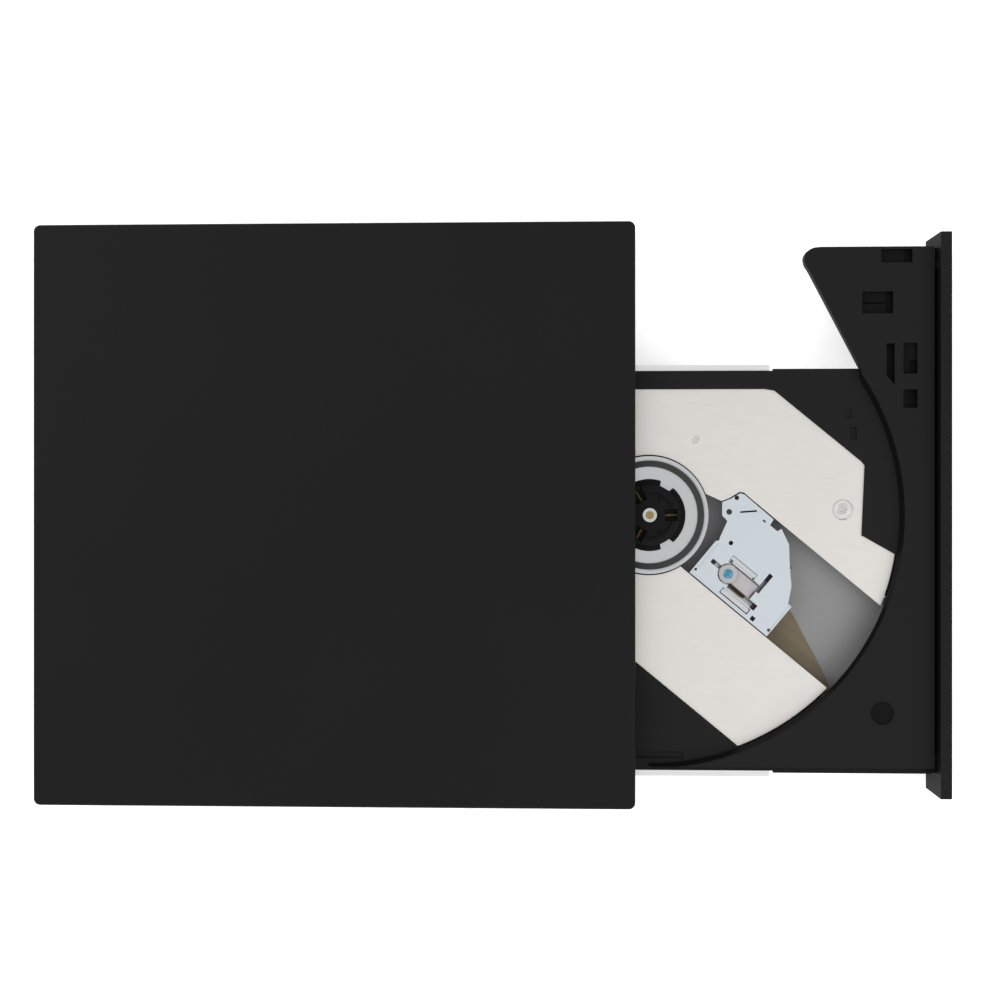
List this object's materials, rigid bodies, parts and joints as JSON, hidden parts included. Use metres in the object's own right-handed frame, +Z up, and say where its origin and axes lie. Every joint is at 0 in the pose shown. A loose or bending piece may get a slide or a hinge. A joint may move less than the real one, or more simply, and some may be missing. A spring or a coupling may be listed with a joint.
{
  "type": "external optical drive",
  "caption": "Slim tray-loading disc drive in a flat black desktop enclosure, tray part-way out, showing the turntable, laser pickup and cover plate.",
  "frame": {"origin": "centre of the drive's footprint at the bottom of its feet, with the tray in the stored position", "axes": "+X the way the tray opens, +Y towards the tray's wing, +Z up"},
  "size_m": [0.2212, 0.141, 0.017],
  "materials": {
    "top_cover": "satin black moulded enclosure shell",
    "bottom_cover": "satin black moulded enclosure shell",
    "rubber_feet": "matt black rubber",
    "case_screws": "black zinc screws",
    "adapter_board": "green solder mask board with chips",
    "usb_socket_shell": "tinned steel shell",
    "usb_socket_tongue": "black liquid-crystal polymer",
    "sata_receptacle": "black connector plastic",
    "drive_base_pan": "zinc-coated pressed sheet",
    "drive_top_plate": "zinc-coated pressed sheet",
    "chassis_screws": "bright countersunk screws",
    "latch_post": "turned steel post",
    "main_board": "green solder mask board with chips",
    "sata_plug": "black connector plastic",
    "rail_guide_right": "natural acetal",
    "rail_guide_left": "natural acetal",
    "flat_cable": "white flat flexible cable",
    "slide_rail_right": "bright stainless channel",
    "slide_rail_left": "bright stainless channel",
    "tray": "satin black moulding",
    "traverse_cover": "warm silver brushed sheet",
    "cover_screws": "bright cross screws",
    "bezel": "satin black moulding",
    "tray_bottom_cover": "zinc-coated pressed sheet",
    "tray_board": "green board with switch and lamp",
    "light_pipe": "clear acrylic",
    "latch_pivot_pin": "turned steel pin",
    "latch_solenoid": "wound coil in a moulded bobbin",
    "pusher_barrel": "black acetal",
    "eject_spring": "music wire coil",
    "spindle_base": "pressed motor plate",
    "spindle_bearing": "sintered bronze bush",
    "spindle_stator": "laminated core with enamelled windings",
    "traverse_frame": "grey coated sheet",
    "main_guide_rod": "ground steel rod",
    "sub_guide_rod": "ground steel rod",
    "damper_grommets": "soft black rubber",
    "damper_screws": "bright shoulder screws",
    "sled_motor": "plated motor can",
    "lead_screw_bracket": "bent sheet bracket",
    "eject_button": "satin black",
    "latch_lever": "natural acetal",
    "solenoid_plunger": "soft iron",
    "eject_pusher": "natural acetal",
    "spindle_shaft": "bronze-toned shaft end",
    "turntable": "turned bright rotor",
    "turntable_pad": "dark grey rubber ring",
    "clamp_hub": "black moulding",
    "claw_springs": "bronze wire coils",
    "clamp_claw_1": "black acetal",
    "clamp_claw_2": "black acetal",
    "clamp_claw_3": "black acetal",
    "pickup_base": "zinc die casting, blackened",
    "pickup_cover": "bright tinned sheet",
    "actuator_yoke": "nickelled iron yoke with magnets",
    "laser_diode": "gold-toned can",
    "rack_follower": "black acetal",
    "lens_holder": "light grey liquid-crystal polymer",
    "objective_lens": "blue-coated moulded lens",
    "lead_screw": "rolled steel screw"
  },
  "bodies": {
    "enclosure": {"top_cover": "top_cover", "bottom_cover": "bottom_cover", "rubber_feet": "rubber_feet", "case_screws": "case_screws", "adapter_board": "adapter_board", "usb_socket_shell": "usb_socket_shell", "usb_socket_tongue": "usb_socket_tongue", "sata_receptacle": "sata_receptacle", "drive_base_pan": "drive_base_pan", "drive_top_plate": "drive_top_plate", "chassis_screws": "chassis_screws", "latch_post": "latch_post", "main_board": "main_board", "sata_plug": "sata_plug", "rail_guide_right": "rail_guide_right", "rail_guide_left": "rail_guide_left", "flat_cable": "flat_cable"},
    "rail_right": {"slide_rail_right": "slide_rail_right"},
    "rail_left": {"slide_rail_left": "slide_rail_left"},
    "tray": {"tray": "tray", "traverse_cover": "traverse_cover", "cover_screws": "cover_screws", "bezel": "bezel", "tray_bottom_cover": "tray_bottom_cover", "tray_board": "tray_board", "light_pipe": "light_pipe", "latch_pivot_pin": "latch_pivot_pin", "latch_solenoid": "latch_solenoid", "pusher_barrel": "pusher_barrel", "eject_spring": "eject_spring", "spindle_base": "spindle_base", "spindle_bearing": "spindle_bearing", "spindle_stator": "spindle_stator", "traverse_frame": "traverse_frame", "main_guide_rod": "main_guide_rod", "sub_guide_rod": "sub_guide_rod", "damper_grommets": "damper_grommets", "damper_screws": "damper_screws", "sled_motor": "sled_motor", "lead_screw_bracket": "lead_screw_bracket"},
    "button": {"eject_button": "eject_button"},
    "latch": {"latch_lever": "latch_lever"},
    "plunger": {"solenoid_plunger": "solenoid_plunger"},
    "pusher": {"eject_pusher": "eject_pusher"},
    "rotor": {"spindle_shaft": "spindle_shaft", "turntable": "turntable", "turntable_pad": "turntable_pad", "clamp_hub": "clamp_hub", "claw_springs": "claw_springs"},
    "claw_1": {"clamp_claw_1": "clamp_claw_1"},
    "claw_2": {"clamp_claw_2": "clamp_claw_2"},
    "claw_3": {"clamp_claw_3": "clamp_claw_3"},
    "sled": {"pickup_base": "pickup_base", "pickup_cover": "pickup_cover", "actuator_yoke": "actuator_yoke", "laser_diode": "laser_diode", "rack_follower": "rack_follower"},
    "lens": {"lens_holder": "lens_holder", "objective_lens": "objective_lens"},
    "screw": {"lead_screw": "lead_screw"}
  },
  "joints": [
    {"name": "tray_slide", "type": "slide", "parent": "enclosure", "child": "tray", "axis": [1, 0, 0], "range_m": [-0.07535, 0.058], "deforming": ["flat_cable"]},
    {"name": "rail_right_slide", "type": "slide", "parent": "enclosure", "child": "rail_right", "axis": [1, 0, 0], "range_m": [-0.03768, 0.029]},
    {"name": "rail_left_slide", "type": "slide", "parent": "enclosure", "child": "rail_left", "axis": [1, 0, 0], "range_m": [-0.03768, 0.029]},
    {"name": "eject_button_press", "type": "slide", "parent": "tray", "child": "button", "axis": [-1, 0, 0], "range_m": [0, 0.0004], "stiffness_N_per_m": 800},
    {"name": "latch_lever_swing", "type": "hinge", "parent": "tray", "child": "latch", "pos_m": [-0.00702, -0.0226, 0.006], "axis": [0, 0, -1], "range_deg": [0, 15]},
    {"name": "solenoid_plunger_pull", "type": "slide", "parent": "tray", "child": "plunger", "axis": [1, 0, 0], "range_m": [0, 0.0003], "stiffness_N_per_m": 1500},
    {"name": "eject_pusher_press", "type": "slide", "parent": "tray", "child": "pusher", "axis": [1, 0, 0], "range_m": [0, 0.0065], "stiffness_N_per_m": 150, "springref_m": -0.002, "deforming": ["eject_spring"]},
    {"name": "disc_spin", "type": "hinge", "parent": "tray", "child": "rotor", "pos_m": [0.03887, 0, 0.01], "axis": [0, 0, 1], "continuous": true},
    {"name": "pickup_travel", "type": "slide", "parent": "tray", "child": "sled", "axis": [0.7694, -0.6388, 0], "range_m": [0, 0.034]},
    {"name": "lens_focus", "type": "slide", "parent": "sled", "child": "lens", "axis": [0, 0, 1], "range_m": [-0.0005, 0.0005], "stiffness_N_per_m": 19},
    {"name": "lead_screw_turn", "type": "hinge", "parent": "tray", "child": "screw", "pos_m": [0.05132, -0.03197, 0.007], "axis": [0.7694, -0.6388, 0], "range_deg": [-10, 4090]},
    {"name": "claw_1_press", "type": "slide", "parent": "rotor", "child": "claw_1", "axis": [-1, 0, 0], "range_m": [0, 0.0005], "stiffness_N_per_m": 300},
    {"name": "claw_2_press", "type": "slide", "parent": "rotor", "child": "claw_2", "axis": [0.5, -0.866, 0], "range_m": [0, 0.0005], "stiffness_N_per_m": 300},
    {"name": "claw_3_press", "type": "slide", "parent": "rotor", "child": "claw_3", "axis": [0.5, 0.866, 0], "range_m": [0, 0.0005], "stiffness_N_per_m": 300}
  ],
  "couplings": [
    {"joint": "rail_right_slide", "follows": "tray_slide", "ratio": 0.5},
    {"joint": "rail_left_slide", "follows": "tray_slide", "ratio": 0.5},
    {"joint": "latch_lever_swing", "follows": "solenoid_plunger_pull", "rad_per_m": 872},
    {"joint": "lead_screw_turn", "follows": "pickup_travel", "rad_per_m": 2094.4}
  ]
}
